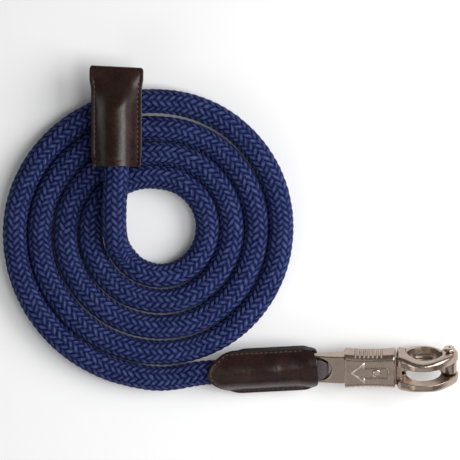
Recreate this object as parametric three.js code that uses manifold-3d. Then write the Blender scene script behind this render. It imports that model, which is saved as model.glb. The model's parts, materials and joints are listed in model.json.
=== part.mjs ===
// A two-metre lead rope with a quick-release snap, lying coiled on a flat surface.
// Millimetres, +Z up. The coil lies on z = 0, the snap points along +X.
import * as THREE from "three";
import { mergeVertices } from "three/addons/utils/BufferGeometryUtils.js";
import Module from "manifold-3d";

const wasm = await Module();
wasm.setup();

// ---------------------------------------------------------------- driving dimensions
const GAP = 0.3; // clearance between touching pieces
const LEATHER = 2.2; // thickness of the leather
const ROPE_R = 8.5;

// The row's origin, under the middle of the leather and metal fittings, seen from the coil's centre.
const ORIGIN = new THREE.Vector3(77.466, -1.093, 0);

// Flat coil: the rope lies in nearly touching turns that wind inwards clockwise from the lead.
const COIL_RADII = [
  // [degrees wound clockwise from the lead, radius of the rope's centre line]
  [-90, 101],
  [0, 103.5],
  [90, 101.3],
  [150, 91.2],
  [180, 87.3],
  [270, 82.4],
  [360, 86.1],
  [450, 84.2],
  [510, 73.4],
  [540, 68.7],
  [630, 65.4],
  [720, 68.3],
  [810, 66.4],
  [870, 56],
  [900, 51.5],
  [990, 48.4],
  [1080, 50.6],
  [1170, 49],
  [1230, 39],
  [1260, 34.8],
  [1350, 31.6],
  [1440, 33],
  [1530, 33],
  [1620, 33],
];
const COIL_START = -92; // compass angle of the lead's end of the coil, degrees from +X
const COIL_SWEEP = 1482; // degrees wound from the lead to the tail
const COIL_TOP = 2 * ROPE_R;
const COIL_BEVEL = 4;

// Leather cover: x runs out of its mouth, towards the snap.
const COVER_AT = new THREE.Vector3(107.4, -95.8, 15.6);
const COVER_TURN = { roll: 27, pitch: 2.4, yaw: 3 };
const COVER_LENGTH = 75.5;
const COVER_BACK_LENGTH = 67.5; // the lower leather's tongue ends sooner
const COVER_HALF = 16.5;
const COVER_BORE = 9;
const COVER_ROPE_END = -24;
const POCKET = { length: 11, halfWidth: 11.2, halfHeight: 4.6, corner: 2.5 };
const DOME = { half: 11, high: ROPE_R + GAP + LEATHER + 0.6 };

// Loop strap, folded round the snap's eye bar.
const STRAP = { halfWidth: 8, thick: 2.4, inner: 2.9, tail: -21, bight: 2.4 };

// Snap: x runs along it from the eye bar to the nose, z to the front.
const SNAP_AT = new THREE.Vector3(100.0, -96.2, 15.066);
const SNAP_TURN = { roll: 27, pitch: 4.2, yaw: 0 };
const EYE = { bar: 2.2, wall: 2, end: 17.2 };
const SHANK = { half: 10.4, front: 4, back: -4, guideFront: 5.6, guideBack: -1.8, guideAt: 28.6 };
const SLOT = { from: 28.8, to: 51.4, half: 3.1, floor: 1.4 };
const COLLAR = { from: 26, to: 60.8, half: 13.3, waist: 12.3, depth: 7.9, corner: 4.2, rim: 0.8 };
const CAVITY = { half: 10.7, depth: 5.9 };
const RIBS = { from: 33.2, pitch: 2.95, grooves: 7, width: 1.5, depth: 1.2 };
const STOP_PIN = { x: 48.3, r: 2.7 };
const SPRING = { coils: 6, r: 1.45, wire: 0.4 };
const FORK = {
  from: 62.1,
  half: 12,
  slot: 5.5,
  edge: 2.6,
  shoulder: 13.2,
  waist: 10.9,
  waistAt: 81,
  noseAt: 92,
};
const LOOP = { x: 80, z: -4, r: 12.25, bow: 8.2, flare: 15.4, flareX: 82.4 };
const NOSE = { x: 98, z: -3, r: 6.2, pin: 2.4, boss: 4, bossHigh: 2.6 };
const GATE = { half: 5.1, thick: 5, knuckle: 5, tailFrom: 60.45, tailLow: -4.4, tailHigh: -2.2 };
const JAW = { half: 7.6, flat: 4.2, shoulder: 6.6, wideFrom: 203 };
const RECESS = { half: 7.2, wide: 2.3, deep: 2 };

// End cap: x runs from its mouth to its fold.
const CAP_AT = new THREE.Vector3(-31.0, 42.0, 28.4);
const CAP = {
  length: 70,
  skew: 2, // the fold runs back by this much across the cap
  mouthHalf: 16.6,
  foldHalf: 18.4,
  drop: 3.6,
  bore: 9,
  boreDepth: 50,
};

const STITCH = { pitch: 3.4, length: 2.5, half: 0.45, high: 0.55, thread: 0.22 };

// ---------------------------------------------------------------- solids
const degrees = THREE.MathUtils.degToRad;

// A closed geometry as a manifold-3d solid.
function solid(geometry) {
  const plain = geometry.index ? geometry.toNonIndexed() : geometry.clone();
  plain.deleteAttribute("normal");
  plain.deleteAttribute("uv");
  const merged = mergeVertices(plain, 1e-4);
  return new wasm.Manifold(
    new wasm.Mesh({
      numProp: 3,
      vertProperties: new Float32Array(merged.attributes.position.array),
      triVerts: new Uint32Array(merged.index.array),
    }),
  );
}

// A manifold-3d solid as a geometry.
function geometryOf(made) {
  const mesh = made.getMesh();
  const points = new Float32Array(mesh.numVert * 3);
  for (let i = 0; i < mesh.numVert; i++) {
    points.set(mesh.vertProperties.subarray(i * mesh.numProp, i * mesh.numProp + 3), i * 3);
  }
  const geometry = new THREE.BufferGeometry();
  geometry.setAttribute("position", new THREE.BufferAttribute(points, 3));
  geometry.setIndex(new THREE.BufferAttribute(mesh.triVerts, 1));
  geometry.computeVertexNormals();
  return geometry;
}

// The points of a loop, leaving out any that crowd the last one kept.
function spaced(points, least) {
  const kept = [points[0]];
  for (const point of points) {
    const fromLast = point.distanceTo(kept.at(-1));
    const fromFirst = point.distanceTo(kept[0]);
    if (fromLast > least && fromFirst > least) {
      kept.push(point);
    }
  }
  return kept;
}

// An outline's extrusion between two heights, its outer edges rounded by `edge`.
function extruded(shape, low, high, edge, curveSegments) {
  const loops = shape.extractPoints(curveSegments);
  const least = Math.max(0.05, 0.5 * edge);
  const plain = new THREE.Shape(spaced(loops.shape, least));
  plain.holes = loops.holes.map((hole) => new THREE.Path(spaced(hole, least)));
  return new THREE.ExtrudeGeometry(plain, {
    depth: high - low - 2 * edge,
    bevelEnabled: edge > 0,
    bevelThickness: edge,
    bevelSize: edge,
    bevelOffset: -edge,
    bevelSegments: 3,
  }).translate(0, 0, low + edge);
}

// An (x, y) outline extruded along z.
function prismZ(shape, low, high, edge = 0, curveSegments = 16) {
  return solid(extruded(shape, low, high, edge, curveSegments));
}

// An (x, z) outline extruded along y.
function prismY(shape, low, high, edge = 0, curveSegments = 16) {
  const geometry = extruded(shape, -high, -low, edge, curveSegments);
  return solid(geometry.rotateX(Math.PI / 2));
}

// A (y, z) outline extruded along x.
function prismX(shape, low, high, edge = 0, curveSegments = 16) {
  const geometry = extruded(shape, low, high, edge, curveSegments);
  const turn = new THREE.Matrix4().makeBasis(
    new THREE.Vector3(0, 1, 0),
    new THREE.Vector3(0, 0, 1),
    new THREE.Vector3(1, 0, 0),
  );
  return solid(geometry.applyMatrix4(turn));
}

function outline(points) {
  return new THREE.Shape(points.map(([a, b]) => new THREE.Vector2(a, b)));
}

function rectangle(lowA, highA, lowB, highB) {
  return outline([
    [lowA, lowB],
    [highA, lowB],
    [highA, highB],
    [lowA, highB],
  ]);
}

function roundedRectangle(lowA, highA, lowB, highB, r) {
  const shape = new THREE.Shape();
  shape.absarc(highA - r, highB - r, r, 0, Math.PI / 2);
  shape.absarc(lowA + r, highB - r, r, Math.PI / 2, Math.PI);
  shape.absarc(lowA + r, lowB + r, r, Math.PI, 1.5 * Math.PI);
  shape.absarc(highA - r, lowB + r, r, 1.5 * Math.PI, 2 * Math.PI);
  shape.closePath();
  return shape;
}

function circle(a, b, r) {
  const shape = new THREE.Shape();
  shape.absarc(a, b, r, 0, 2 * Math.PI);
  return shape;
}

// A round bar along y.
function pinY(x, z, r, low, high, edge = 0, curveSegments = 16) {
  return prismY(circle(x, z, r), low, high, edge, curveSegments);
}

// A tube of `sides` flat faces along a curve, with flat ends.
function tube(points, r, steps, sides = 10) {
  const ring = [];
  for (let i = 0; i < sides; i++) {
    const angle = (2 * Math.PI * i) / sides;
    ring.push([r * Math.cos(angle), r * Math.sin(angle)]);
  }
  return new THREE.ExtrudeGeometry(outline(ring), {
    steps,
    bevelEnabled: false,
    extrudePath: new THREE.CatmullRomCurve3(points),
  });
}

// ---------------------------------------------------------------- rope
// Radius of the rope's centre line, `wound` degrees clockwise from the lead.
function coilRadius(wound) {
  const next = COIL_RADII.findIndex(([angle]) => angle > wound);
  const [before, from, to, after] = COIL_RADII.slice(next - 2, next + 2);
  const width = to[0] - from[0];
  const slopeFrom = (width * (to[1] - before[1])) / (to[0] - before[0]);
  const slopeTo = (width * (after[1] - from[1])) / (after[0] - from[0]);
  const t = (wound - from[0]) / width;
  return (
    from[1] * (1 + 2 * t) * (1 - t) ** 2 +
    to[1] * t * t * (3 - 2 * t) +
    slopeFrom * t * (1 - t) ** 2 -
    slopeTo * t * t * (1 - t)
  );
}

// The point `offset` outside the rope's centre line.
function coilPoint(wound, offset) {
  const angle = degrees(COIL_START - wound);
  const r = coilRadius(wound) + offset;
  return new THREE.Vector2(r * Math.cos(angle), r * Math.sin(angle));
}

// Edge of the coil over one whole turn; the jump between its ends is the rope's own end face.
function coilEdge(fromWound, offset) {
  const points = [];
  for (let step = 0; step <= 72; step++) {
    points.push(coilPoint(fromWound + 5 * step - (step === 72 ? 0.01 : 0), offset));
  }
  return points;
}

function ropeCoil() {
  const shape = new THREE.Shape(coilEdge(0, ROPE_R).reverse());
  shape.holes.push(new THREE.Path(coilEdge(COIL_SWEEP - 360, -ROPE_R)));
  return prismZ(shape, 0, COIL_TOP, COIL_BEVEL);
}

// The rope from the coil's outer end into the leather cover.
function ropeLead() {
  const start = coilPoint(0, 0);
  const along = new THREE.Vector3(1, 0, 0).applyEuler(turnOf(COVER_TURN));
  const inCover = (x) => COVER_AT.clone().addScaledVector(along, x);
  const mouth = inCover(-COVER_LENGTH - 3);
  const points = [
    new THREE.Vector3(start.x + 1, start.y - 0.6, ROPE_R),
    new THREE.Vector3(start.x + 10, start.y - 0.2, ROPE_R + 0.3),
    mouth,
    inCover(-COVER_LENGTH + 8),
    inCover(-50),
    inCover(COVER_ROPE_END),
  ];
  return tube(points, ROPE_R, 10);
}

// The rope from the coil's inner end up over the turns into the end cap.
function ropeTail() {
  const start = coilPoint(COIL_SWEEP - 0.01, 0);
  const away = degrees(COIL_START - COIL_SWEEP - 90);
  const step = (distance, inwards, height) =>
    new THREE.Vector3(
      start.x + distance * Math.cos(away) + inwards * Math.sin(away),
      start.y + distance * Math.sin(away) - inwards * Math.cos(away),
      height,
    );
  const points = [
    step(1.8, 0.4, ROPE_R + 0.1),
    step(4.5, 0.7, ROPE_R + 0.5),
    step(13, 3, ROPE_R + 6),
    new THREE.Vector3(CAP_AT.x - 1.2, -4, 21),
    new THREE.Vector3(CAP_AT.x - 1.4, 14, 26.8),
    new THREE.Vector3(CAP_AT.x - 0.4, 30, CAP_AT.z),
    new THREE.Vector3(CAP_AT.x, CAP_AT.y - 2, CAP_AT.z),
    new THREE.Vector3(CAP_AT.x, CAP_AT.y + 20, CAP_AT.z),
    new THREE.Vector3(CAP_AT.x, CAP_AT.y + CAP.boreDepth - 2, CAP_AT.z),
  ];
  return tube(points, ROPE_R, 16);
}

// ---------------------------------------------------------------- leather cover
function turnOf({ roll, pitch, yaw }) {
  return new THREE.Euler(degrees(roll), degrees(-pitch), degrees(yaw), "ZYX");
}

// Plan of the cover: a tongue over the rope, turned a little to one side, and a mouth with round corners.
function coverPlan(length) {
  const shape = new THREE.Shape();
  const back = -length;
  shape.moveTo(0, -7.4);
  shape.lineTo(0, 7.4);
  shape.bezierCurveTo(-0.4, 12.4, -5, COVER_HALF, -11, COVER_HALF);
  shape.lineTo(back + 19.5, COVER_HALF);
  shape.bezierCurveTo(back + 13.5, COVER_HALF, back + 9, 12.9, back + 5.5, 11.2);
  shape.bezierCurveTo(back + 2.3, 9.6, back, 6, back, 2.2);
  shape.bezierCurveTo(back, -1, back + 2.5, -3.2, back + 5, -6);
  shape.bezierCurveTo(back + 9, -10.6, back + 14, -COVER_HALF, back + 23.5, -COVER_HALF);
  shape.lineTo(-11, -COVER_HALF);
  shape.bezierCurveTo(-5, -COVER_HALF, -0.4, -12.4, 0, -7.4);
  shape.closePath();
  return shape;
}

// Half section of the cover across the rope: a dome between two flat flanges.
function domeSection(half, domeHalf, domeHigh, flange, low) {
  const shape = new THREE.Shape();
  shape.moveTo(-half, low);
  shape.lineTo(half, low);
  shape.lineTo(half, flange);
  shape.lineTo(domeHalf + 2.4, flange);
  shape.bezierCurveTo(domeHalf, flange, domeHalf - 1.5, domeHigh, 0, domeHigh);
  shape.bezierCurveTo(-domeHalf + 1.5, domeHigh, -domeHalf, flange, -domeHalf - 2.4, flange);
  shape.lineTo(-half, flange);
  shape.closePath();
  return shape;
}

// The upper leather: the lower one is its mirror image with a shorter tongue.
function coverHalf(length) {
  const outer = prismX(
    domeSection(COVER_HALF + 1, DOME.half, DOME.high, LEATHER, GAP / 2),
    -COVER_LENGTH - 1,
    1,
  );
  const plan = prismZ(coverPlan(length), -1, 20, 0, 8);
  const bore = prismX(circle(0, 0, COVER_BORE), -COVER_LENGTH - 2, COVER_ROPE_END + 4);
  const pocket = prismX(
    roundedRectangle(
      -POCKET.halfWidth,
      POCKET.halfWidth,
      -POCKET.halfHeight,
      POCKET.halfHeight,
      POCKET.corner,
    ),
    -POCKET.length,
    2,
    0,
    4,
  );
  const strapRoom = prismX(
    rectangle(-STRAP.halfWidth - 0.8, STRAP.halfWidth + 0.8, -6.4, 6.4),
    STRAP.tail - 1,
    2,
  );
  return outer.intersect(plan).subtract(bore).subtract(pocket).subtract(strapRoom);
}

function coverBack() {
  return coverHalf(COVER_BACK_LENGTH).mirror([0, 0, 1]);
}

// A strap folded into a U round the eye bar, its legs lying along the inside of the cover.
function loopStrap() {
  const outer = STRAP.inner + STRAP.thick;
  const shape = new THREE.Shape();
  shape.moveTo(STRAP.tail, outer);
  shape.lineTo(STRAP.bight, outer);
  shape.absarc(STRAP.bight, 0, outer, Math.PI / 2, -Math.PI / 2, true);
  shape.lineTo(STRAP.tail, -outer);
  shape.lineTo(STRAP.tail, -STRAP.inner);
  shape.lineTo(STRAP.bight, -STRAP.inner);
  shape.absarc(STRAP.bight, 0, STRAP.inner, -Math.PI / 2, Math.PI / 2, false);
  shape.lineTo(STRAP.tail, STRAP.inner);
  shape.closePath();
  const r = STRAP.halfWidth;
  const rounded = STRAP.bight + outer - r - 0.1;
  const plan = new THREE.Shape();
  plan.moveTo(STRAP.tail - 1, -r);
  plan.lineTo(rounded, -r);
  plan.absarc(rounded, 0, r, -Math.PI / 2, Math.PI / 2, false);
  plan.lineTo(STRAP.tail - 1, r);
  plan.closePath();
  return prismY(shape, -r, r, 0.5, 8).intersect(prismZ(plan, -9, 9));
}

// A row of stitches on one thread, along x between two points at height z.
function seam(fromX, toX, y, z) {
  const count = Math.floor((toX - fromX) / STITCH.pitch);
  const thread = rectangle(fromX, fromX + count * STITCH.pitch, y - STITCH.thread, y + STITCH.thread);
  let made = prismZ(thread, z, z + STITCH.thread);
  for (let i = 0; i < count; i++) {
    const x = fromX + (i + 0.5) * STITCH.pitch;
    const stitch = rectangle(
      x - STITCH.length / 2,
      x + STITCH.length / 2,
      y - STITCH.half,
      y + STITCH.half,
    );
    made = made.add(prismZ(stitch, z, z + STITCH.high));
  }
  return made;
}

// ---------------------------------------------------------------- snap
// Side view of the eye and shank: thin at the bar, thicker towards the collar.
function shankSide() {
  const { front, back, guideAt, guideFront, guideBack } = SHANK;
  const { bar, end } = EYE;
  const shape = new THREE.Shape();
  shape.moveTo(-bar, -bar);
  shape.lineTo(bar, -bar);
  shape.bezierCurveTo(bar + 8, -bar - 0.7, end - 1, back, end + 6, back);
  shape.lineTo(guideAt, back);
  shape.lineTo(guideAt, guideBack);
  shape.lineTo(FORK.from + 3, guideBack);
  shape.lineTo(FORK.from + 3, guideFront);
  shape.lineTo(guideAt, guideFront);
  shape.lineTo(guideAt, front);
  shape.lineTo(end + 6, front);
  shape.bezierCurveTo(end - 1, front, bar + 8, bar + 0.7, bar, bar);
  shape.lineTo(-bar, bar);
  shape.closePath();
  return shape;
}

// Plan of the eye and shank, with the eye's D-shaped opening.
function shankPlan() {
  const shape = new THREE.Shape();
  shape.moveTo(FORK.from + 3, -SHANK.half);
  shape.lineTo(FORK.from + 3, SHANK.half);
  shape.lineTo(2, SHANK.half);
  shape.bezierCurveTo(-EYE.bar, SHANK.half, -EYE.bar, SHANK.half - 1, -EYE.bar, SHANK.half - 4);
  shape.lineTo(-EYE.bar, -SHANK.half + 4);
  shape.bezierCurveTo(-EYE.bar, -SHANK.half + 1, -EYE.bar, -SHANK.half, 2, -SHANK.half);
  shape.closePath();
  const inner = SHANK.half - EYE.wall;
  const eye = new THREE.Path();
  eye.moveTo(EYE.bar, -inner);
  eye.lineTo(EYE.bar, inner);
  eye.lineTo(EYE.end - inner, inner);
  eye.absarc(EYE.end - inner, 0, inner, Math.PI / 2, -Math.PI / 2, true);
  eye.closePath();
  shape.holes.push(eye);
  return shape;
}

// Side view of one tine, before the hook's opening is cut: the arch and the nose with the pivot.
function tineSide() {
  const shape = new THREE.Shape();
  const outer = LOOP.r + LOOP.bow;
  shape.moveTo(FORK.from, -COLLAR.depth);
  shape.lineTo(FORK.from, COLLAR.depth - 1);
  shape.bezierCurveTo(
    FORK.from + 0.5,
    COLLAR.depth + 1.5,
    FORK.from + 2.5,
    COLLAR.depth + 3,
    LOOP.x + outer * Math.cos(degrees(128)),
    LOOP.z + outer * Math.sin(degrees(128)),
  );
  shape.absarc(LOOP.x, LOOP.z, outer, degrees(128), degrees(58), true);
  const end = LOOP.x + outer * Math.cos(degrees(58));
  const high = LOOP.z + outer * Math.sin(degrees(58));
  const tip = NOSE.x + NOSE.r * Math.cos(degrees(15));
  const low = NOSE.z + NOSE.r * Math.sin(degrees(15));
  shape.bezierCurveTo(end + 5.1, high - 3.2, tip - 1.3, low + 4.8, tip, low);
  shape.absarc(NOSE.x, NOSE.z, NOSE.r, degrees(15), degrees(-120), true);
  shape.closePath();
  return shape;
}

// The hook's opening: round between the tines, its rim flared on the outside, more towards the nose.
function hookOpening() {
  const { x, z, r, flare, flareX } = LOOP;
  const steps = 6;
  const inner = r - (flareX - x);
  const profile = [new THREE.Vector2(0, FORK.slot - 0.4), new THREE.Vector2(inner, FORK.slot - 0.4)];
  for (let i = 0; i <= steps; i++) {
    const angle = (Math.PI / 2) * (i / steps);
    const rim = inner + (flare - inner) * (1 - Math.cos(angle));
    const across = FORK.slot + (FORK.half - FORK.slot) * Math.sin(angle);
    profile.push(new THREE.Vector2(rim, across));
  }
  profile.push(new THREE.Vector2(flare, 20), new THREE.Vector2(0, 20));
  const flared = solid(new THREE.LatheGeometry(profile, 48).translate(flareX, 0, z));
  return pinY(x, z, r, -1, 20, 0, 48).add(flared);
}

// The tine's outer side at x: out to the shoulder by the collar, drawn in at the middle of the arch.
function tineHalf(x) {
  const { from, half, shoulder, waist, waistAt, noseAt } = FORK;
  const before = THREE.MathUtils.smoothstep(x, from, waistAt);
  const after = THREE.MathUtils.smoothstep(x, waistAt, noseAt);
  return shoulder + (waist - shoulder) * before + (half - waist) * after;
}

function drawnIn(tine) {
  const { half, slot } = FORK;
  return tine.warp((point) => {
    const share = (tineHalf(point[0]) - slot) / (half - slot);
    point[1] = slot + (point[1] - slot) * share;
  });
}

// Plan of the fork: square at the shoulder, rounded at the nose.
function forkPlan() {
  const nose = NOSE.x + NOSE.r;
  const shape = new THREE.Shape();
  shape.moveTo(FORK.from, -FORK.half);
  shape.lineTo(nose - 7, -FORK.half);
  shape.bezierCurveTo(nose - 1, -FORK.half, nose, -FORK.half + 2, nose, -FORK.slot - 1);
  shape.lineTo(nose, FORK.slot + 1);
  shape.bezierCurveTo(nose, FORK.half - 2, nose - 1, FORK.half, nose - 7, FORK.half);
  shape.lineTo(FORK.from, FORK.half);
  shape.closePath();
  return shape;
}

function fork() {
  const slot = prismZ(rectangle(50, 120, -FORK.slot, FORK.slot), -40, 40);
  const plain = prismY(tineSide(), -1, FORK.half, FORK.edge, 14)
    .subtract(slot)
    .intersect(prismZ(forkPlan(), -40, 40));
  const tine = drawnIn(plain.subtract(hookOpening()));
  const other = tine.mirror([0, 1, 0]);
  const root = prismZ(
    rectangle(FORK.from, FORK.from + 3.2, -FORK.slot - 1.6, FORK.slot + 1.6),
    SHANK.guideBack,
    COLLAR.depth - 1.2,
  );
  return tine.add(other).add(root);
}

function snapBody() {
  const shank = prismZ(shankPlan(), -10, 10, 0, 12).intersect(
    prismY(shankSide(), -SHANK.half, SHANK.half, 0.7),
  );
  const slot = prismZ(
    roundedRectangle(SLOT.from, SLOT.to, -SLOT.half, SLOT.half, SLOT.half - 0.1),
    SLOT.floor,
    12,
    0,
    6,
  );
  const pinHole = pinY(NOSE.x, NOSE.z, NOSE.pin + 0.05, -20, 20);
  return shank.add(fork()).subtract(slot).subtract(pinHole);
}

// The collar's block: a bar with large round corners, drawn in slightly between its flared ends.
function collarBlock() {
  const { from, to, half, waist, depth, corner, rim } = COLLAR;
  const section = roundedRectangle(-half, half, -depth, depth, corner);
  const plain = new THREE.Shape(spaced(section.extractPoints(7).shape, 0.05));
  const rims = [
    [0, rim],
    [0.3 * rim, 0.3 * rim],
    [rim, 0],
  ];
  const waves = 9;
  const span = to - from - 2 * rim;
  const rings = [...rims];
  for (let i = 1; i < waves; i++) {
    rings.push([rim + (span * i) / waves, 0]);
  }
  rings.push(...rims.map(([x, inset]) => [to - from - x, inset]).reverse());
  const steps = rings.length - 1;
  const bar = new THREE.ExtrudeGeometry(plain, { depth: steps, steps, bevelEnabled: false });
  const turn = new THREE.Matrix4().makeBasis(
    new THREE.Vector3(0, 1, 0),
    new THREE.Vector3(0, 0, 1),
    new THREE.Vector3(1, 0, 0),
  );
  return solid(bar.applyMatrix4(turn)).warp((point) => {
    const [x, inset] = rings[Math.round(point[0])];
    const share = (2 * x) / (to - from) - 1;
    const drawn = waist + (half - waist) * share * share - inset;
    point[0] = from + x;
    point[1] *= drawn / half;
    point[2] *= (depth - inset) / depth;
  });
}

// Outline of the pull arrow, grown outwards by `grow`.
function arrow(grow) {
  const tip = 31.2 - 1.5 * grow;
  const neck = 39.4 + grow;
  const tail = 56 + grow;
  return outline([
    [tip, 0],
    [neck, -7 - 1.5 * grow],
    [neck, -3.8 - grow],
    [tail, -3.8 - grow],
    [tail, 3.8 + grow],
    [neck, 3.8 + grow],
    [neck, 7 + 1.5 * grow],
  ]);
}

function releaseCollar() {
  const { from, to, depth } = COLLAR;
  const cavity = prismX(
    roundedRectangle(-CAVITY.half, CAVITY.half, -CAVITY.depth, CAVITY.depth, 1),
    from - 1,
    to + 1,
    0,
    3,
  );
  let made = collarBlock().subtract(cavity);
  for (let i = 0; i < RIBS.grooves; i++) {
    const x = RIBS.from + RIBS.pitch * i;
    const groove = rectangle(x, x + RIBS.width, COLLAR.waist - RIBS.depth, 20);
    const cut = prismZ(groove, -depth + 1.5, depth + 1);
    made = made.subtract(cut).subtract(cut.mirror([0, 1, 0]));
  }
  const engraved = prismZ(arrow(0.35), depth - 0.4, depth + 2).subtract(
    prismZ(arrow(-0.3), depth - 1, depth + 3),
  );
  const pinHole = prismZ(circle(STOP_PIN.x, 0, STOP_PIN.r + 0.05), 2, 12);
  return made.subtract(engraved).subtract(pinHole);
}

// The pin through the collar's face, its end peened to a shallow dome.
function stopPin() {
  const dome = COLLAR.depth + 0.35;
  return solid(
    new THREE.LatheGeometry(
      [
        [0, 2],
        [STOP_PIN.r - 0.3, 2],
        [STOP_PIN.r, 2.3],
        [STOP_PIN.r, dome - 0.4],
        [STOP_PIN.r - 0.5, dome - 0.1],
        [STOP_PIN.r - 1.3, dome],
        [0, dome],
      ].map(([r, z]) => new THREE.Vector2(r, z)),
      28,
    )
      .rotateX(Math.PI / 2)
      .translate(STOP_PIN.x, 0, 0),
  );
}

// The return spring between the slot's end and the stop pin.
function collarSpring() {
  const from = SLOT.from + SPRING.wire + GAP + 0.3;
  const to = STOP_PIN.x - STOP_PIN.r - SPRING.wire - GAP;
  const centre = (SLOT.floor + SHANK.guideFront) / 2;
  const points = [];
  const perCoil = 10;
  const count = SPRING.coils * perCoil;
  for (let i = 0; i <= count; i++) {
    const angle = (2 * Math.PI * i) / perCoil;
    points.push(
      new THREE.Vector3(
        from + ((to - from) * i) / count,
        SPRING.r * Math.cos(angle),
        centre + SPRING.r * Math.sin(angle),
      ),
    );
  }
  return tube(points, SPRING.wire, count, 6);
}

// The jaw's wide middle below the tines, its inner face flat across and its back rounded.
function wideJaw() {
  const { half, flat, shoulder, wideFrom } = JAW;
  const { x, z, r } = LOOP;
  const profile = [
    [r, -half],
    [r + 0.9, -half],
    [r + 3.4, -shoulder],
    [r + GATE.thick, -flat],
    [r + GATE.thick, flat],
    [r + 3.4, shoulder],
    [r + 0.9, half],
    [r, half],
    [r, -half],
  ].map(([a, b]) => new THREE.Vector2(a, b));
  const ring = solid(new THREE.LatheGeometry(profile, 64).translate(x, 0, z));
  const ray = (angle) => [x + 60 * Math.cos(degrees(angle)), z + 60 * Math.sin(degrees(angle))];
  const wedge = outline([[x, z], ray(wideFrom), ray(270), ray(540 - wideFrom)]);
  return ring.intersect(prismY(wedge, -half - 1, half + 1));
}

// The jaw: a band bowed under the opening, from the pivot's knuckle to a tail inside the collar.
function gate() {
  const { half, thick, knuckle, tailFrom, tailLow, tailHigh } = GATE;
  const outer = LOOP.r + thick;
  const endAngle = Math.asin((tailHigh - 0.8 - LOOP.z) / LOOP.r);
  const band = new THREE.Shape();
  band.absarc(LOOP.x, LOOP.z, outer, degrees(178), degrees(362), false);
  band.absarc(LOOP.x, LOOP.z, LOOP.r, degrees(362), Math.PI - endAngle, true);
  band.closePath();
  const tail = outline([
    [tailFrom, tailLow],
    [LOOP.x - LOOP.r - 0.4, tailLow - 1],
    [LOOP.x - LOOP.r - 0.4, tailHigh - 0.5],
    [LOOP.x - LOOP.r - 1.6, tailHigh],
    [tailFrom, tailHigh],
  ]);
  const hole = pinY(NOSE.x, NOSE.z, NOSE.pin + 0.05, -20, 20);
  const knuckleBar = pinY(NOSE.x, NOSE.z, knuckle, -half, half, 1.4);
  const recess = solid(
    new THREE.SphereGeometry(1, 24, 12)
      .scale(RECESS.half, RECESS.wide, RECESS.deep)
      .translate(LOOP.x + 0.6, 0, LOOP.z - LOOP.r + 0.3),
  );
  return prismY(band, -half, half, 0.9, 14)
    .add(wideJaw())
    .add(prismY(tail, -half + 0.6, half - 0.6, 0.4))
    .add(knuckleBar)
    .subtract(hole)
    .subtract(recess);
}

// The pivot pin: a boss stands on one side, the other end is flush.
function pivotPin() {
  const high = FORK.half;
  const profile = [
    [0, -high],
    [NOSE.pin - 0.3, -high],
    [NOSE.pin, -high + 0.3],
    [NOSE.pin, high + GAP],
    [NOSE.boss, high + GAP],
    [NOSE.boss, high + NOSE.bossHigh - 0.9],
    [NOSE.boss - 0.3, high + NOSE.bossHigh - 0.4],
    [NOSE.boss - 1, high + NOSE.bossHigh],
    [1.2, high + NOSE.bossHigh],
    [0, high + NOSE.bossHigh - 0.8],
  ].map(([r, y]) => new THREE.Vector2(r, y));
  return solid(new THREE.LatheGeometry(profile, 28).translate(NOSE.x, 0, NOSE.z));
}

// ---------------------------------------------------------------- end cap
// Plan of the cap: slightly wider at its fold.
function capPlan() {
  const { length, skew, mouthHalf, foldHalf } = CAP;
  const shape = new THREE.Shape();
  shape.moveTo(0, -mouthHalf + 1);
  shape.lineTo(1, -mouthHalf);
  shape.lineTo(length - 14, -mouthHalf - 0.6);
  shape.lineTo(length - skew - 1.2, -foldHalf);
  shape.lineTo(length - skew, -foldHalf + 1.2);
  shape.lineTo(length, foldHalf - 1.2);
  shape.lineTo(length - 1.2, foldHalf);
  shape.lineTo(length - 14, mouthHalf + 0.6);
  shape.lineTo(1, mouthHalf);
  shape.lineTo(0, mouthHalf - 1);
  shape.closePath();
  return shape;
}

// Side view of the cap: domed over the rope, flattening towards the fold.
function capSide() {
  const high = DOME.high;
  const low = -DOME.high;
  const shape = new THREE.Shape();
  shape.moveTo(-1, low);
  shape.lineTo(CAP.length + 1, low);
  shape.lineTo(CAP.length + 1, -CAP.drop + 1.5);
  shape.lineTo(CAP.length - 3, -CAP.drop + 4);
  shape.bezierCurveTo(CAP.length - 8, 2, CAP.length - 10, high, CAP.boreDepth - 10, high);
  shape.lineTo(-1, high);
  shape.closePath();
  return shape;
}

function endCap() {
  const top = domeSection(20, DOME.half, DOME.high, LEATHER - CAP.drop, -CAP.drop);
  const bottom = domeSection(20, DOME.half, DOME.high - 0.6 - CAP.drop, LEATHER, -0.2);
  const lower = prismX(bottom, -1, CAP.length + 1).mirror([0, 0, 1]).translate([0, 0, -CAP.drop]);
  const bore = prismX(circle(0, 0, CAP.bore), -2, CAP.boreDepth);
  return prismX(top, -1, CAP.length + 1)
    .add(lower)
    .intersect(prismZ(capPlan(), -20, 20))
    .intersect(prismY(capSide(), -25, 25))
    .subtract(bore);
}

// ---------------------------------------------------------------- materials and assembly
function material(color, roughness, metalness = 0) {
  return new THREE.MeshStandardMaterial({ color, roughness, metalness });
}

const NAVY_ROPE = material(0x1d2547, 0.9);
const BROWN_LEATHER = material(0x4a3526, 0.6);
const DARK_LEATHER = material(0x2b2622, 0.5);
const THREAD = material(0x8a7560, 0.8);
const NICKEL = material(0xb9aa98, 0.35, 1);
const STEEL = material(0xc4c0b8, 0.4, 1);

const part = new THREE.Group();

function add(parent, name, made, look) {
  const geometry = made.isBufferGeometry ? made : geometryOf(made);
  const mesh = new THREE.Mesh(geometry, look);
  mesh.name = name;
  parent.add(mesh);
}

function frame(at, turn) {
  const group = new THREE.Group();
  group.position.copy(at);
  group.rotation.copy(turn);
  part.add(group);
  return group;
}

add(part, "rope_coil", ropeCoil(), NAVY_ROPE);
add(part, "rope_lead", ropeLead(), NAVY_ROPE);
add(part, "rope_tail", ropeTail(), NAVY_ROPE);

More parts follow.
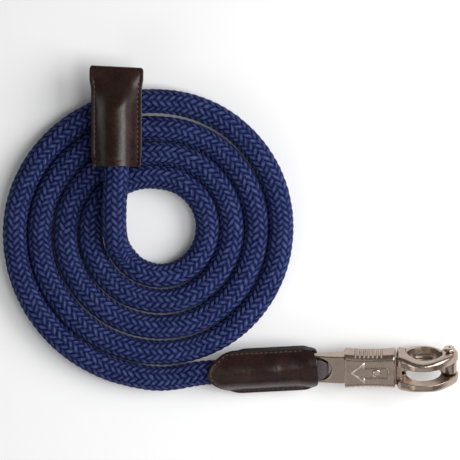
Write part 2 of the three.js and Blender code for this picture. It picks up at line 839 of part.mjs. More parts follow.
const cover = frame(COVER_AT, turnOf(COVER_TURN));
const seamY = COVER_HALF - 1.5;
const seamZ = LEATHER + 0.02;
add(cover, "cover_front", coverHalf(COVER_LENGTH), BROWN_LEATHER);
add(cover, "cover_back", coverBack(), BROWN_LEATHER);
add(cover, "loop_strap", loopStrap(), DARK_LEATHER);
add(cover, "cover_seam_upper", seam(-COVER_LENGTH + 22, -11, seamY, seamZ), THREAD);
add(cover, "cover_seam_lower", seam(-COVER_LENGTH + 22, -11, -seamY, seamZ), THREAD);

const cap = frame(CAP_AT, new THREE.Euler(0, 0, Math.PI / 2));
const capSeamY = CAP.mouthHalf - 2.5;
const capSeamZ = LEATHER - CAP.drop + 0.02;
add(cap, "end_cap", endCap(), BROWN_LEATHER);
add(cap, "cap_seam_left", seam(2, CAP.length - 9, capSeamY, capSeamZ), THREAD);
add(cap, "cap_seam_right", seam(2, CAP.length - 9, -capSeamY, capSeamZ), THREAD);

const snap = frame(SNAP_AT, turnOf(SNAP_TURN));
add(snap, "snap_body", snapBody(), NICKEL);
add(snap, "release_collar", releaseCollar(), NICKEL);
add(snap, "stop_pin", stopPin(), NICKEL);
add(snap, "collar_spring", collarSpring(), STEEL);
add(snap, "gate", gate(), NICKEL);
add(snap, "pivot_pin", pivotPin(), NICKEL);

part.children.forEach((child) => child.position.sub(ORIGIN));

export default part;
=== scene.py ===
"""Looks of a coiled lead rope with a quick-release snap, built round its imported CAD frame.

Local shapes are drawn in millimetres and placed in the row frame in metres.
"""

import json
import math

import bpy
import numpy as np
from mathutils import Matrix, Vector

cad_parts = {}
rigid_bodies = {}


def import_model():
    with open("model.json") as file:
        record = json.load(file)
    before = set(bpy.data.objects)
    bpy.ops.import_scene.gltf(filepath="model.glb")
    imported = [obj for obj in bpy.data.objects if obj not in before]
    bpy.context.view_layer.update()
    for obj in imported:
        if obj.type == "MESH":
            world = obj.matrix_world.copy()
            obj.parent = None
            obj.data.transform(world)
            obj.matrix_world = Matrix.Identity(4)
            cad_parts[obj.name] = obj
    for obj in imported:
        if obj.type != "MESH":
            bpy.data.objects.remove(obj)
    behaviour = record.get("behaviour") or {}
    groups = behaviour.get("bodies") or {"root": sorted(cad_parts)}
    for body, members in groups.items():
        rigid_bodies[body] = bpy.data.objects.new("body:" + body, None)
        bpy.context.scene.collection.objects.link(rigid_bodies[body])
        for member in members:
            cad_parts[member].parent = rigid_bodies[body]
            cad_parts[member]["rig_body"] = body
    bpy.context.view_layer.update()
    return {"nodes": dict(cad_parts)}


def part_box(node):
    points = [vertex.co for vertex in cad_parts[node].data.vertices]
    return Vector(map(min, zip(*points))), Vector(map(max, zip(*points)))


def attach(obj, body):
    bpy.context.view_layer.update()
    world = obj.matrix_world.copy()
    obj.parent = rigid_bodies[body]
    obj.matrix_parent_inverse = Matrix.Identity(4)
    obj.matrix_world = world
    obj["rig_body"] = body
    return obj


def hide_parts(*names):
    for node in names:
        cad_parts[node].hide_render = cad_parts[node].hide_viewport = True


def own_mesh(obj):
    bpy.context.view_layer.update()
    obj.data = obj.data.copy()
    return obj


for default in list(bpy.data.objects):
    bpy.data.objects.remove(default)

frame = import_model()

MM = 0.001
RANDOM = np.random.default_rng(7)

# ---------------------------------------------------------------- the frames of the part
ORIGIN = Vector((77.466, -1.093, 0.0))  # the row's origin, seen from the coil's centre
ROPE_R = 8.5
COVER_AT = Vector((107.4, -95.8, 15.6))
COVER_LENGTH = 75.5
COVER_BACK_LENGTH = 67.5
COVER_HALF = 16.5
CAP_AT = Vector((-31.0, 42.0, 28.4))
CAP_LENGTH = 70.0
SNAP_AT = Vector((100.0, -96.2, 15.066))


def placed(at, roll=0.0, pitch=0.0, yaw=0.0):
    """The matrix from a local frame in millimetres to the row frame in metres."""
    turn = (
        Matrix.Rotation(math.radians(yaw), 4, "Z")
        @ Matrix.Rotation(math.radians(-pitch), 4, "Y")
        @ Matrix.Rotation(math.radians(roll), 4, "X")
    )
    return Matrix.Scale(MM, 4) @ Matrix.Translation(at - ORIGIN) @ turn


COIL = placed(Vector((0, 0, 0)))
COVER = placed(COVER_AT, roll=27, pitch=2.4, yaw=3)
CAP = placed(CAP_AT, yaw=90)
SNAP = placed(SNAP_AT, roll=27, pitch=4.2)


def moved(matrix, points):
    """Points (any shape, last axis 3) carried by a matrix."""
    m = np.array(matrix)
    return points @ m[:3, :3].T + m[:3, 3]


# ---------------------------------------------------------------- camera
VIEW_CENTRE = (-0.0305, -0.0003)
VIEW_WIDTH = 0.3174
VIEW_HEIGHT = 0.012  # the height at which the view is that wide
CAMERA_HEIGHT = 2.6
SENSOR = 36  # millimetres

camera_data = bpy.data.cameras.new("camera")
camera = bpy.data.objects.new("camera", camera_data)
bpy.context.scene.collection.objects.link(camera)
camera.location = (*VIEW_CENTRE, CAMERA_HEIGHT)
camera_data.sensor_width = SENSOR
camera_data.lens = SENSOR * (CAMERA_HEIGHT - VIEW_HEIGHT) / VIEW_WIDTH
camera_data.clip_end = 20
bpy.context.scene.camera = camera


# ---------------------------------------------------------------- mesh helpers
def mesh_object(name, points, quads, ngons=()):
    """A smooth mesh object of points in metres, quads as an (n, 4) array and a few larger faces."""
    corners = np.concatenate([np.asarray(quads).ravel(), *[np.asarray(f) for f in ngons]])
    sizes = np.array([4] * len(quads) + [len(f) for f in ngons])
    mesh = bpy.data.meshes.new(name)
    mesh.vertices.add(len(points))
    mesh.loops.add(len(corners))
    mesh.polygons.add(len(sizes))
    mesh.vertices.foreach_set("co", np.asarray(points, np.float32).ravel())
    mesh.loops.foreach_set("vertex_index", corners.astype(np.int32))
    starts = np.concatenate([[0], np.cumsum(sizes)[:-1]])
    mesh.polygons.foreach_set("loop_start", starts.astype(np.int32))
    mesh.update(calc_edges=True)
    mesh.shade_smooth()
    made = bpy.data.objects.new(name, mesh)
    bpy.context.scene.collection.objects.link(made)
    return made


def grid_quads(rows, columns, closed_columns=False, first=0):
    """Quads over a grid of points numbered row by row."""
    r = np.arange(rows - 1)
    c = np.arange(columns if closed_columns else columns - 1)
    r, c = np.meshgrid(r, c, indexing="ij")
    r2, c2 = r + 1, (c + 1) % columns
    quads = np.stack([r * columns + c, r * columns + c2, r2 * columns + c2, r2 * columns + c], -1)
    return quads.reshape(-1, 4) + first


def corner_attribute(made, name, values):
    """A vector for each face corner."""
    attribute = made.data.attributes.new(name, "FLOAT_VECTOR", "CORNER")
    attribute.data.foreach_set("vector", np.asarray(values, np.float32).ravel())


def point_attribute(made, name, values):
    """A number for each vertex."""
    attribute = made.data.attributes.new(name, "FLOAT", "POINT")
    attribute.data.foreach_set("value", np.asarray(values, np.float32).ravel())


def smooth_line(points, step):
    """A natural cubic spline through points, as points that lie `step` apart."""
    points = np.array(points, float)
    t = np.concatenate([[0], np.cumsum(np.linalg.norm(np.diff(points, axis=0), axis=1))])
    h = np.diff(t)
    n = len(points)
    system = np.eye(n)
    bends = np.zeros((n, 3))
    for i in range(1, n - 1):
        system[i, i - 1 : i + 2] = h[i - 1], 2 * (h[i - 1] + h[i]), h[i]
        after = (points[i + 1] - points[i]) / h[i]
        before = (points[i] - points[i - 1]) / h[i - 1]
        bends[i] = 6 * (after - before)
    curve = np.linalg.solve(system, bends)

    def at(s):
        k = np.clip(np.searchsorted(t, s, side="right") - 1, 0, n - 2)
        left, right, width = (s - t[k])[:, None], (t[k + 1] - s)[:, None], h[k][:, None]
        return (
            curve[k] * right**3 / (6 * width)
            + curve[k + 1] * left**3 / (6 * width)
            + (points[k] / width - curve[k] * width / 6) * right
            + (points[k + 1] / width - curve[k + 1] * width / 6) * left
        )

    samples = 20 * n + 2000
    fine = at(np.linspace(0, t[-1], samples))
    along = np.concatenate([[0], np.cumsum(np.linalg.norm(np.diff(fine, axis=0), axis=1))])
    even = np.linspace(0, along[-1], int(along[-1] / step) + 1)
    return np.stack([np.interp(even, along, fine[:, k]) for k in range(3)], axis=1)


def carried_frames(line, up):
    """Two directions across a line at each point, carried along it without twist."""
    tangents = np.gradient(line, axis=0)
    tangents /= np.linalg.norm(tangents, axis=1)[:, None]
    across = np.zeros_like(line)
    side = np.array(up, float)
    for k, tangent in enumerate(tangents):
        side = side - (side @ tangent) * tangent
        side /= np.linalg.norm(side)
        across[k] = side
    return across, np.cross(tangents, across)


def smoothstep(low, high, x):
    """A smooth rise from 0 at low to 1 at high, which may be the smaller one."""
    share = np.clip((np.asarray(x, float) - low) / (high - low), 0, 1)
    return share * share * (3 - 2 * share)


# ---------------------------------------------------------------- the rope's route
COIL_RADII = np.array(
    [  # degrees wound clockwise from the lead, radius of the rope's centre line
        (-90, 101),
        (0, 103.5),
        (90, 101.3),
        (150, 91.2),
        (180, 87.3),
        (270, 82.4),
        (360, 86.1),
        (450, 84.2),
        (510, 73.4),
        (540, 68.7),
        (630, 65.4),
        (720, 68.3),
        (810, 66.4),
        (870, 56),
        (900, 51.5),
        (990, 48.4),
        (1080, 50.6),
        (1170, 49),
        (1230, 39),
        (1260, 34.8),
        (1350, 31.6),
        (1440, 33),
        (1530, 33),
        (1620, 33),
    ]
)
COIL_START = -92  # compass angle of the lead's end of the coil, degrees from +X
COIL_SWEEP = 1482  # degrees wound from the lead to the tail
COIL_STEP = 8  # degrees between the route's points on the coil


def coil_point(wound):
    """The rope's centre line, `wound` degrees clockwise from the lead, in the coil's frame."""
    k = int(np.searchsorted(COIL_RADII[:, 0], wound, side="right"))
    (a0, r0), (a1, r1), (a2, r2), (a3, r3) = COIL_RADII[k - 2 : k + 2]
    t, width = (wound - a1) / (a2 - a1), a2 - a1
    slope_from, slope_to = width * (r2 - r0) / (a2 - a0), width * (r3 - r1) / (a3 - a1)
    r = r1 * (1 + 2 * t) * (1 - t) ** 2 + r2 * t * t * (3 - 2 * t)
    r += slope_from * t * (1 - t) ** 2 - slope_to * t * t * (1 - t)
    angle = math.radians(COIL_START - wound)
    return np.array([r * math.cos(angle), r * math.sin(angle), ROPE_R])


def rope_route():
    """The route's points from the cover's inside, round the coil and into the end cap."""
    to_coil = Matrix.Translation(ORIGIN) @ Matrix.Scale(1 / MM, 4) @ COVER
    start = coil_point(0)
    route = [np.array(to_coil @ Vector((x, 0, 0))) for x in (-24, -50, -67.5, -78.5)]
    route.append(start + (10, -0.2, 0.3))
    route.append(start + (1, -0.6, 0))
    route += [coil_point(wound) for wound in range(COIL_STEP, COIL_SWEEP - 2, COIL_STEP)]
    away = math.radians(COIL_START - COIL_SWEEP - 90)
    end = coil_point(COIL_SWEEP - 0.01)
    ahead = np.array([math.cos(away), math.sin(away), 0])
    inwards = np.array([math.sin(away), -math.cos(away), 0])
    route.append(end + 4.5 * ahead + 0.7 * inwards + (0, 0, 0.5))
    route.append(end + 13 * ahead + 3 * inwards + (0, 0, 6))
    x, y, z = CAP_AT
    route += [(x - 1.2, -4, 21), (x - 1.4, 14, 26.8), (x - 0.4, 30, z)]
    route += [(x, y - 2, z), (x, y + 20, z), (x, y + 47, z)]
    return route


# ---------------------------------------------------------------- the braid
STEP = 0.85  # between rings of the rope's mesh
AROUND = 96  # points in each ring
CARRIERS = 24
EACH_WAY = CARRIERS // 2  # strands that wind each way
LAY = 57.0  # length in which a strand winds once round the rope
CORE = 6.75  # radius under the strands
FLOAT = 0.55  # how far a strand rises and dips
CROWN = 1.25  # a strand's own roundness
CELL = 3.25  # a strand's width
LOOSENESS = 0.07  # how much higher or lower some strands lie
LOWEST = 0.02  # the underside is pressed flat at this height
RIGHT_SHIFT, LEFT_SHIFT = 3.7, 5.3  # along a strand, from the fibres of the one beside it


def wobble(along, *waves):
    """A small slow drift, as a sum of sines of (wavelength, size, phase)."""
    return sum(size * np.sin(2 * np.pi * along / wave + phase) for wave, size, phase in waves)


def strands(turn, along):
    """The braid's two diagonal coordinates, one counting each set of strands."""
    drift = wobble(along, (83, 0.16, 0.3), (37, 0.09, 1.9), (19, 0.05, 4.0))
    slip = wobble(along, (61, 0.14, 2.2), (29, 0.08, 0.7), (15, 0.05, 5.1))
    sway = 0.1 * np.sin(2 * np.pi * turn + along / 23)
    sway = sway + 0.07 * np.sin(4 * np.pi * turn - along / 17)
    right = EACH_WAY * (turn - along / LAY) + drift + sway
    left = EACH_WAY * (turn + along / LAY) + slip - sway
    return right, left


def crown(across):
    """The round top of a strand, half a strand's width each way."""
    return CROWN * np.sqrt(np.clip(1 - (across / 0.5) ** 2, 0, 1))


def rise(phase, top):
    """The waves of a strand that passes over two others and under two."""
    wave = np.cos(np.pi / 2 * (phase - top))
    return FLOAT * np.sign(wave) * np.abs(wave) ** 0.7


def braid_heights(a, b, looseness):
    """The height over the rope's core of each set of strands."""
    i, j = np.round(a), np.round(b)
    right = rise(b + i, 0.5) + crown(a - i) + looseness[0][i.astype(int) % EACH_WAY]
    left = rise(a + j, 2.5) + crown(b - j) + looseness[1][j.astype(int) % EACH_WAY]
    return right, left


def braided_rope():
    """The rope, with the attributes that its look reads, its centre line and its length."""
    line = smooth_line(rope_route(), STEP)
    across, side = carried_frames(line, (0, 0, 1))
    rings = len(line)
    along = STEP * np.arange(rings)[:, None]
    turn = np.arange(AROUND)[None, :] / AROUND
    looseness = RANDOM.uniform(-LOOSENESS, LOOSENESS, (2, EACH_WAY))
    a, b = strands(turn, along)
    right, left = braid_heights(a, b, looseness)
    height = np.maximum(right, left) + FLOAT * 0.1
    r = (CORE + height)[..., None]
    angle = 2 * np.pi * turn[..., None] + 0 * r
    points = line[:, None] + r * (np.cos(angle) * across[:, None] + np.sin(angle) * side[:, None])
    points[..., 2] = np.maximum(points[..., 2], LOWEST)

    quads = grid_quads(rings, AROUND, closed_columns=True)[:, ::-1]
    ends = [np.arange(AROUND), np.arange(AROUND)[::-1] + (rings - 1) * AROUND]
    rope = mesh_object("braided_rope", moved(COIL, points).reshape(-1, 3), quads, ends)
    # lift is read by the look to paint shade low between the strands and a highlight on their
    # crowns.
    point_attribute(rope, "lift", height / (CROWN + FLOAT))

    # Each face corner's place on the strand that it belongs to, across it and along it.
    ring = quads // AROUND
    place = quads % AROUND
    wrapped = (place == 0) & (place.max(axis=1) == AROUND - 1)[:, None]
    ca, cb = strands((place + AROUND * wrapped) / AROUND, STEP * ring)
    ma, mb = ca.mean(axis=1), cb.mean(axis=1)
    on_right = np.greater(*braid_heights(ma, mb, looseness))[:, None]
    i, j = np.round(ma)[:, None], np.round(mb)[:, None]
    over = np.where(on_right, ca - i, cb - j)
    down = np.where(on_right, cb + RIGHT_SHIFT * i, ca + LEFT_SHIFT * j)
    number = np.where(on_right, i % EACH_WAY, EACH_WAY + j % EACH_WAY) + 0 * over
    yarn = np.stack([CELL * over, CELL * down, number], -1).reshape(-1, 3)
    yarn = np.concatenate([yarn, np.zeros((2 * AROUND, 3))])
    corner_attribute(rope, "yarn", yarn)
    length = float(np.linalg.norm(np.diff(line, axis=0), axis=1).sum())
    return rope, moved(COIL, line), length * MM


rope, rope_path, rope_length = braided_rope()
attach(rope, "lead")
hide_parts("rope_coil", "rope_lead", "rope_tail")


# ---------------------------------------------------------------- node helpers
class Look:
    """A material whose Principled shader is fed by nodes made one call at a time."""

    def __init__(self, name, **plain):
        self.material = bpy.data.materials.new(name)
        self.material.use_nodes = True
        self.tree = self.material.node_tree
        self.tree.nodes.clear()
        output = self.tree.nodes.new("ShaderNodeOutputMaterial")
        self.shader = self.tree.nodes.new("ShaderNodeBsdfPrincipled")
        self.tree.links.new(self.shader.outputs[0], output.inputs[0])
        for socket, value in plain.items():
            self.feed(self.shader, socket.replace("_", " "), value)

    def feed(self, node, socket, value):
        target = node.inputs[socket]
        if isinstance(value, bpy.types.NodeSocket):
            self.tree.links.new(value, target)
        elif isinstance(value, (tuple, list)) and target.type == "RGBA":
            target.default_value = (*value[:3], 1)
        else:
            target.default_value = value

    def node(self, kind, inputs=(), out=0, **settings):
        made = self.tree.nodes.new("ShaderNode" + kind)
        for key, value in settings.items():
            setattr(made, key, value)
        for socket, value in dict(inputs).items():
            self.feed(made, socket, value)
        return made.outputs[out]

    def math(self, operation, *values):
        return self.node("Math", enumerate(values), operation=operation)

    def weighted(self, *terms):
        """The sum of a few sockets, each multiplied by its weight."""
        total = None
        for weight, value in terms:
            term = self.math("MULTIPLY", value, weight)
            total = term if total is None else self.math("ADD", total, term)
        return total

    def noise(self, where, scale, detail=3.0, roughness=0.55, distortion=0.0):
        inputs = {
            "Vector": where,
            "Scale": scale,
            "Detail": detail,
            "Roughness": roughness,
            "Distortion": distortion,
        }
        return self.node("TexNoise", inputs, noise_dimensions="3D")

    def ramp(self, value, *stops):
        """A colour ramp through stops of (place, colour)."""
        socket = self.node("ValToRGB", {0: value})
        elements = socket.node.color_ramp.elements
        while len(elements) < len(stops):
            elements.new(1.0)
        for element, (place, colour) in zip(elements, stops):
            element.position = place
            element.color = (*colour, 1)
        return socket

    def fit(self, value, low, high, to_low, to_high):
        """Maps one range of numbers onto another."""
        inputs = dict(enumerate([value, low, high, to_low, to_high]))
        return self.node("MapRange", inputs)

    def bump(self, height, strength, distance):
        inputs = {"Height": height, "Strength": strength, "Distance": distance}
        return self.node("Bump", inputs)

    def position(self):
        """Object coordinates in millimetres."""
        where = self.node("TexCoord", out=3)
        return self.node("VectorMath", {0: where, "Scale": 1 / MM}, operation="SCALE")

    def finish(self, **sockets):
        for socket, value in sockets.items():
            self.feed(self.shader, socket.replace("_", " "), value)
        return self.material


# ---------------------------------------------------------------- materials
YARN_PITCH = 1.06  # between the yarns of a strand


def rope_look():
    """Navy dyed yarns, with a painted highlight on the strands' crowns and painted shade, nearly
    black, between the strands.
    """
    look = Look("navy_braid", Roughness=0.55, Specular_IOR_Level=0.06)
    yarn = look.node("Attribute", attribute_name="yarn", out=1)
    lift = look.node("Attribute", attribute_name="lift", out=2)
    across, down, number = look.node("SeparateXYZ", {0: yarn}).node.outputs
    # Three yarns lie side by side in each strand, each one twisted.
    yarn_wave = look.math("COSINE", look.math("MULTIPLY", across, 2 * math.pi / YARN_PITCH))
    twist = look.math("SINE", look.weighted((5.2, down), (3.4, across)))
    flat = look.node("CombineXYZ", {0: across, 1: look.math("MULTIPLY", down, 0.3), 2: number})
    fibre = look.noise(flat, 3.2, detail=2)
    patch = look.noise(look.node("CombineXYZ", {0: down, 1: number}), 0.45, detail=2)
    # Painted light: lift, a strand's height over the core, makes the colour pale on the crowns
    # (painted highlight) and nearly black low between the strands (painted shade); fibre and patch
    # are the yarns' own tone.
    light = look.weighted(
        (0.52, look.math("POWER", lift, 1.5)),
        (0.5, fibre),
        (0.2, patch),
        (0.06, yarn_wave),
        (0.03, twist),
    )
    # The lowest stop is painted shade and the highest a painted highlight.
    colour = look.ramp(
        light,
        (0.48, (0.0002, 0.0008, 0.006)),
        (0.64, (0.004, 0.01, 0.052)),
        (0.79, (0.022, 0.034, 0.125)),
        (0.94, (0.095, 0.108, 0.26)),
    )
    relief = look.weighted((0.5, yarn_wave), (0.22, twist), (0.8, fibre))
    return look.finish(Base_Color=colour, Normal=look.bump(relief, 0.8, 0.0003))


rope.data.materials.append(rope_look())


def leather_look(name, dark, middle, light, roughness, grain):
    """Waxed leather with clouded dye, fine grain, pores and a few creases."""
    look = Look(name, Specular_IOR_Level=0.36)
    where = look.position()
    cloud = look.noise(where, 0.05, detail=4, roughness=0.6)
    mottle = look.noise(where, 0.35, detail=3)
    tone = look.weighted((0.65, cloud), (0.35, mottle))
    colour = look.ramp(tone, (0.36, dark), (0.52, middle), (0.68, light))
    cells = look.node("TexVoronoi", {"Vector": where, "Scale": 1.1, "Randomness": 1.0})
    pores = look.noise(where, 3.2, detail=3, roughness=0.6)
    creases = look.noise(where, 0.22, detail=2, distortion=0.6)
    relief = look.weighted((grain, cells), (0.35, pores), (0.9, creases))
    worn = look.noise(where, 0.6, detail=3)
    rough = look.fit(worn, 0.3, 0.7, roughness - 0.07, roughness + 0.1)
    return look.finish(Base_Color=colour, Roughness=rough, Normal=look.bump(relief, 0.5, 0.00018))


BROWN = leather_look(
    "brown_grain_leather",
    dark=(0.0085, 0.002, 0.0011),
    middle=(0.017, 0.005, 0.0032),
    light=(0.032, 0.0115, 0.0072),
    roughness=0.32,
    grain=0.5,
)
DARK = leather_look(
    "dark_strap_leather",
    dark=(0.06, 0.047, 0.05),
    middle=(0.085, 0.067, 0.072),
    light=(0.12, 0.098, 0.105),
    roughness=0.3,
    grain=0.3,
)


def edge_look():
    """The dark burnished cut edge of the leather."""
    look = Look("burnished_edge", Roughness=0.55)
    where = look.position()
    layers = look.noise(where, 1.6, detail=3)
    colour = look.ramp(layers, (0.35, (0.004, 0.003, 0.003)), (0.7, (0.014, 0.009, 0.008)))
    return look.finish(Base_Color=colour, Normal=look.bump(layers, 0.6, 0.0002))


EDGE = edge_look()


def thread_look(name, dark, light):
    """Waxed thread of a few plies."""
    look = Look(name, Roughness=0.5, Sheen_Weight=0.2)
    where = look.position()
    plies = look.node("TexWave", {"Vector": where, "Scale": 1.3, "Distortion": 1.0}, out=1)
    fuzz = look.noise(where, 4.0, detail=2)
    tone = look.weighted((0.5, plies), (0.5, fuzz))
    colour = look.ramp(tone, (0.2, dark), (0.8, light))
    return look.finish(Base_Color=colour, Normal=look.bump(tone, 0.6, 0.00015))


THREAD = thread_look("waxed_thread", (0.03, 0.013, 0.009), (0.13, 0.076, 0.056))
# The same thread, darker for the cover's stitches: painted shade.
SHADED_THREAD = thread_look("waxed_thread_painted_shade", (0.02, 0.009, 0.006), (0.085, 0.044, 0.033))


def nickel_look(name, dark, light, roughness, brushed):
    """Satin plating with faint lines along the snap and a slightly uneven gloss."""
    look = Look(name, Metallic=1.0)
    where = look.position()
    cloud = look.noise(where, 0.09, detail=4, roughness=0.6)
    speck = look.noise(where, 2.6, detail=3, roughness=0.65)
    tone = look.weighted((0.6, cloud), (0.4, speck))
    colour = look.ramp(tone, (0.35, dark), (0.65, light))
    stretched = look.node("VectorMath", {0: where, 1: (0.35, 3.0, 3.0)}, operation="MULTIPLY")
    lines = look.noise(stretched, 1.4, detail=3)
    polish = look.weighted((0.5, lines), (0.5, speck))
    rough = look.fit(polish, 0.35, 0.65, roughness - 0.06, roughness + 0.08)
    dents = look.noise(where, 0.45, detail=2)
    relief = look.weighted((brushed, lines), (0.35, speck), (0.5, dents))
    return look.finish(Base_Color=colour, Roughness=rough, Normal=look.bump(relief, 0.07, 0.00006))


NICKEL = nickel_look("satin_nickel", (0.32, 0.25, 0.2), (0.45, 0.36, 0.3), 0.24, 0.5)
BRIGHT = nickel_look("bright_nickel", (0.46, 0.38, 0.31), (0.6, 0.51, 0.43), 0.22, 0.2)
# Much paler nickel for the arrow's raised bead: a painted highlight along it.
PAINTED_HIGHLIGHT_NICKEL = nickel_look("nickel_painted_highlight", (0.66, 0.58, 0.5), (0.82, 0.75, 0.67), 0.3, 0.2)
SPRING_STEEL = nickel_look("spring_steel", (0.5, 0.48, 0.45), (0.66, 0.64, 0.6), 0.25, 0.6)


# ---------------------------------------------------------------- leather sheets
RIM = 0.55  # how far a cut edge's rounding reaches into the leather
RIM_STEPS = (0.0, 0.08, 0.22, 0.42, 0.7)  # shares of the rim where the sheet has points
RIM_SHARE = 0.62  # of the thickness that is left at the cut edge


def rim_thickness(inset):
    """The share of the full thickness this far inside a cut edge."""
    share = np.clip(inset / RIM, 0, 1)
    return RIM_SHARE + (1 - RIM_SHARE) * np.sqrt(1 - (1 - share) ** 2)


def insets(length, count):
    """Places from 0 to length, crowded at both ends for the rounding of the rim."""
    rim = RIM * np.array(RIM_STEPS)
    inner = np.linspace(RIM, length - RIM, count)
    return np.concatenate([rim, inner, length - rim[::-1]])


def leather_sheet(name, middle, inset, thick, to_row, look, flip=False):
    """A closed sheet of leather round a middle surface, an array of rows of points.

    inset is each point's distance from the cut edge. The faces at the edge take the edge's look.
    """
    rows, columns = middle.shape[:2]
    normal = np.cross(np.gradient(middle, axis=0), np.gradient(middle, axis=1))
    normal /= np.maximum(np.linalg.norm(normal, axis=2), 1e-9)[..., None]
    if flip:
        normal = -normal
    half = (0.5 * thick * rim_thickness(inset))[..., None]
    outer, inner = middle + half * normal, middle - half * normal
    points = np.concatenate([outer.reshape(-1, 3), inner.reshape(-1, 3)])
    top = grid_quads(rows, columns)
    under = top[:, ::-1] + rows * columns
    loop = np.concatenate(
        [
            np.arange(columns - 1),
            np.arange(rows - 1) * columns + columns - 1,
            (rows - 1) * columns + np.arange(columns - 1, 0, -1),
            np.arange(rows - 1, 0, -1) * columns,
        ]
    )
    following = np.roll(loop, -1)
    rim = np.stack([following, loop, loop + rows * columns, following + rows * columns], -1)
    quads = np.concatenate([top, under, rim])
    if flip:
        quads = quads[:, ::-1]
    made = mesh_object(name, moved(to_row, points), quads)
    made.data.materials.append(look)
    made.data.materials.append(EDGE)
    is_rim = np.zeros(len(quads), np.int32)
    is_rim[2 * len(top) :] = 1
    near_rim = inset.ravel()[top].max(axis=1) < 0.3 * RIM
    is_rim[: len(top)] = near_rim
    is_rim[len(top) : 2 * len(top)] = near_rim
    made.data.polygons.foreach_set("material_index", is_rim)
    return made


def distance_to(outline, x, y):
    """Distance of the points (x, y) from a closed outline of points."""
    start, end = outline, np.roll(outline, -1, axis=0)
    best = np.full(x.shape, np.inf)
    for (ax, ay), (bx, by) in zip(start, end):
        dx, dy = bx - ax, by - ay
        share = np.clip(((x - ax) * dx + (y - ay) * dy) / max(dx * dx + dy * dy, 1e-12), 0, 1)
        best = np.minimum(best, np.hypot(x - ax - share * dx, y - ay - share * dy))
    return best


def bezier(p0, p1, p2, p3, count):
    """Points on a cubic curve, without its last one."""
    t = np.linspace(0, 1, count, endpoint=False)[:, None]
    p0, p1, p2, p3 = map(np.array, (p0, p1, p2, p3))
    return (1 - t) ** 3 * p0 + 3 * (1 - t) ** 2 * t * p1 + 3 * (1 - t) * t * t * p2 + t**3 * p3


# ---------------------------------------------------------------- cover
LEATHER = 2.1  # thickness
SEAM_INSET = 2.0  # from the cut edge to the cover's seam
MOUTH_HALF = 7.4  # the straight part of the cover's mouth
DOME_HALF = 13.6  # half the width of the cover's dome over the rope
DOME_HIGH = 10.1  # of the middle of the leather over the rope's centre line
TIP = 1.6  # the least width of the tongue


def cover_sides(length):
    """The cover's plan from its mouth to its tongue's tip: the upper edge and the lower one."""
    back, half = -length, COVER_HALF
    mouth = bezier((0, MOUTH_HALF), (-0.4, 12.4), (-5, half), (-11, half), 24)
    upper = [
        mouth,
        bezier((-11, half), (-26, half), (-41, half), (back + 19.5, half), 16),
        bezier((back + 19.5, half), (back + 13.5, half), (back + 9, 12.9), (back + 5.5, 11.2), 24),
        bezier((back + 5.5, 11.2), (back + 2.3, 9.6), (back, 6), (back, 2.2), 24),
        [(back, 2.2)],
    ]
    lower = [
        mouth * (1, -1),
        bezier((-11, -half), (-26, -half), (-41, -half), (back + 23.5, -half), 16),
        bezier((back + 23.5, -half), (back + 14, -half), (back + 9, -10.6), (back + 5, -6), 24),
        bezier((back + 5, -6), (back + 2.5, -3.2), (back, -1), (back, 2.2), 24),
        [(back, 2.2)],
    ]
    return np.concatenate(upper), np.concatenate(lower)


def cover_plan(length, rows, columns):
    """A grid over the cover's plan: x, y and the distance from the cut edge."""
    upper, lower = cover_sides(length)
    x = -insets(length, rows)

    def edge(side):
        order = np.argsort(side[:, 0])
        return np.interp(x, side[order, 0] + 1e-6 * np.arange(len(order)), side[order, 1])

    high, low = edge(upper), edge(lower)
    high[0], low[0] = MOUTH_HALF, -MOUTH_HALF
    high = np.maximum(high, low + TIP)
    share = insets(2 * COVER_HALF, columns) / (2 * COVER_HALF)
    y = low[:, None] + (high - low)[:, None] * share[None, :]
    x = x[:, None] + 0 * y
    return x, y, distance_to(np.concatenate([upper, lower[::-1]]), x, y)


def dome(y, half, a=2.5, b=1.3):
    """A leather dome's height over its flanges, as a share, falling to 0 at half."""
    share = np.clip(np.abs(y) / half, 0, 1)
    return (1 - share**a) ** b


def cover_height(x, y):
    """The middle of the upper leather, lower over the strap than over the rope."""
    top = DOME_HIGH - 0.9 * smoothstep(-31, -23, x) - 0.6 * smoothstep(-20, 0, x)
    ridge = 0.14 * np.exp(-(((x + 27 + 0.018 * y * y) / 0.8) ** 2)) * smoothstep(9, 5, np.abs(y))
    flange = 1.2
    mouth = smoothstep(-17, -4, x)
    over = (1 - mouth) * dome(y, DOME_HALF) + mouth * dome(y, DOME_HALF + 0.7, a=3.1, b=1.25)
    return flange + (top - flange) * over + ridge


def cover_half(name, length, side, node):
    """One leather of the cover: side is 1 for the upper one and -1 for the lower one."""
    x, y, inset = cover_plan(length, 150, 84)
    z = cover_height(x, y)
    past_mouth = smoothstep(-6, -12, x)
    groove = np.exp(-(((inset - SEAM_INSET) / 0.5) ** 2)) * past_mouth
    line = np.exp(-(((inset - SEAM_INSET - 1.5) / 0.28) ** 2)) * past_mouth
    z = z - 0.22 * groove - 0.16 * line
    sag = 0.12 * np.sin(x / 5.3 + 1.0) * np.sin(y / 4.1) + 0.08 * np.sin(x / 2.9 + y / 3.3)
    z = z + sag * smoothstep(2.5, 6, inset)
    middle = np.stack([x, y, side * z], -1)
    made = leather_sheet(name, middle, inset, LEATHER, COVER, BROWN, flip=side > 0)
    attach(made, "lead")
    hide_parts(node)


cover_half("cover_upper_leather", COVER_LENGTH, 1, "cover_front")
cover_half("cover_lower_leather", COVER_BACK_LENGTH, -1, "cover_back")


# ---------------------------------------------------------------- stitches
STITCH_PITCH = 3.3
STITCH_LENGTH = 2.7
STITCH_HALF = 0.42  # half a stitch's width
STITCH_HIGH = 0.34
STITCH_SINK = 0.28  # how far a stitch's ends are drawn into the leather
STITCH_SLANT = 0.16
STITCH_LIFT = LEATHER / 2 - 0.12  # of a stitch's middle over the middle of the leather
SEAM_START = -9.5  # the cover's seam starts this far inside the mouth


